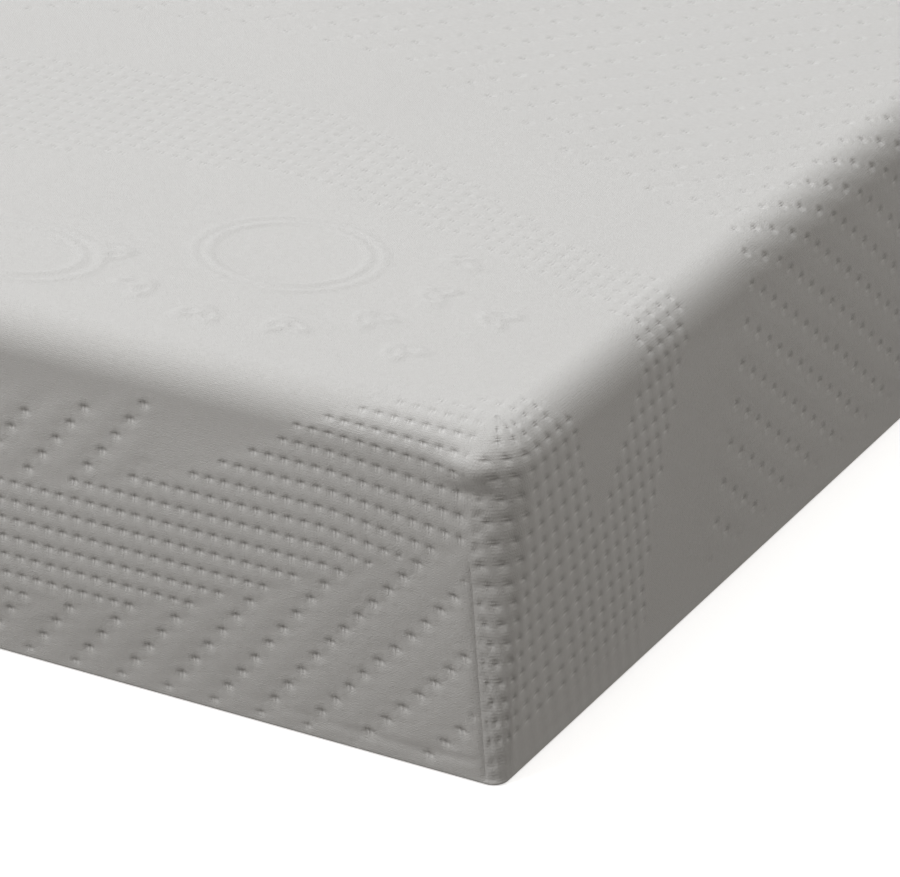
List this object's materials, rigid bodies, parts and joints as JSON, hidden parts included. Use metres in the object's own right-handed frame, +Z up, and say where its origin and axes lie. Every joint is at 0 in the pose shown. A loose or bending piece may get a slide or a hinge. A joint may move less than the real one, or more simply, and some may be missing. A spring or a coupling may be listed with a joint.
{
  "type": "memory foam mattress",
  "caption": "Flat rectangular foam mattress in a pale dimpled knit cover with soft edges, darted corners and an end zip; supports a sleeper.",
  "frame": {"origin": "centre of the underside, on the surface that the mattress lies on", "axes": "+Y along the length towards the zipped head end, +X across the width to the right, +Z up towards the sleeping surface"},
  "size_m": [0.9004, 1.9019, 0.15],
  "materials": {
    "cover_knit": "pale grey double-jersey jacquard knit with stitched dimples, matt",
    "base_cloth": "mid grey close warp-knit base cloth, matt",
    "reflex_foam": "open-cell polyurethane foam, cream",
    "memory_foam": "viscoelastic polyurethane foam, off-white",
    "sock_knit": "fine tubular stretch knit",
    "overlock_thread": "overlocked polyester thread over cloth edges",
    "stitch_thread": "lockstitch polyester thread",
    "zip_tape": "woven polyester zip tape, grey",
    "zip_coil": "moulded nylon coil, grey",
    "zip_metal": "nickel-plated die-cast zinc, satin",
    "satin_label": "white woven satin, blank"
  },
  "bodies": {
    "mattress": {"reflex_core": "reflex_foam", "memory_foam_layer": "memory_foam", "inner_sock": "sock_knit", "cover_shell": "cover_knit", "cover_base": "base_cloth", "corner_seam_front_right": "overlock_thread", "corner_seam_front_left": "overlock_thread", "corner_seam_back_right": "overlock_thread", "corner_seam_back_left": "overlock_thread", "base_overlock_seam": "overlock_thread", "zip_tape_upper": "zip_tape", "zip_tape_lower": "zip_tape", "zip_coil_upper": "zip_coil", "zip_coil_lower": "zip_coil", "zip_stop_closed_end": "zip_metal", "zip_stop_open_end": "zip_metal", "zip_stitching_upper": "stitch_thread", "zip_stitching_lower": "stitch_thread", "care_label": "satin_label"},
    "zip_slider": {"zip_slider": "zip_metal"},
    "zip_pull": {"zip_pull_tab": "zip_metal"}
  },
  "joints": [
    {"name": "zip_slide", "type": "slide", "parent": "mattress", "child": "zip_slider", "axis": [1, 0, 0], "range_m": [-0.746, 0]},
    {"name": "zip_pull_flip", "type": "hinge", "parent": "zip_slider", "child": "zip_pull", "pos_m": [0.373, 0.9508, 0.015], "axis": [0, 0, 1], "range_deg": [-180, 0]}
  ]
}
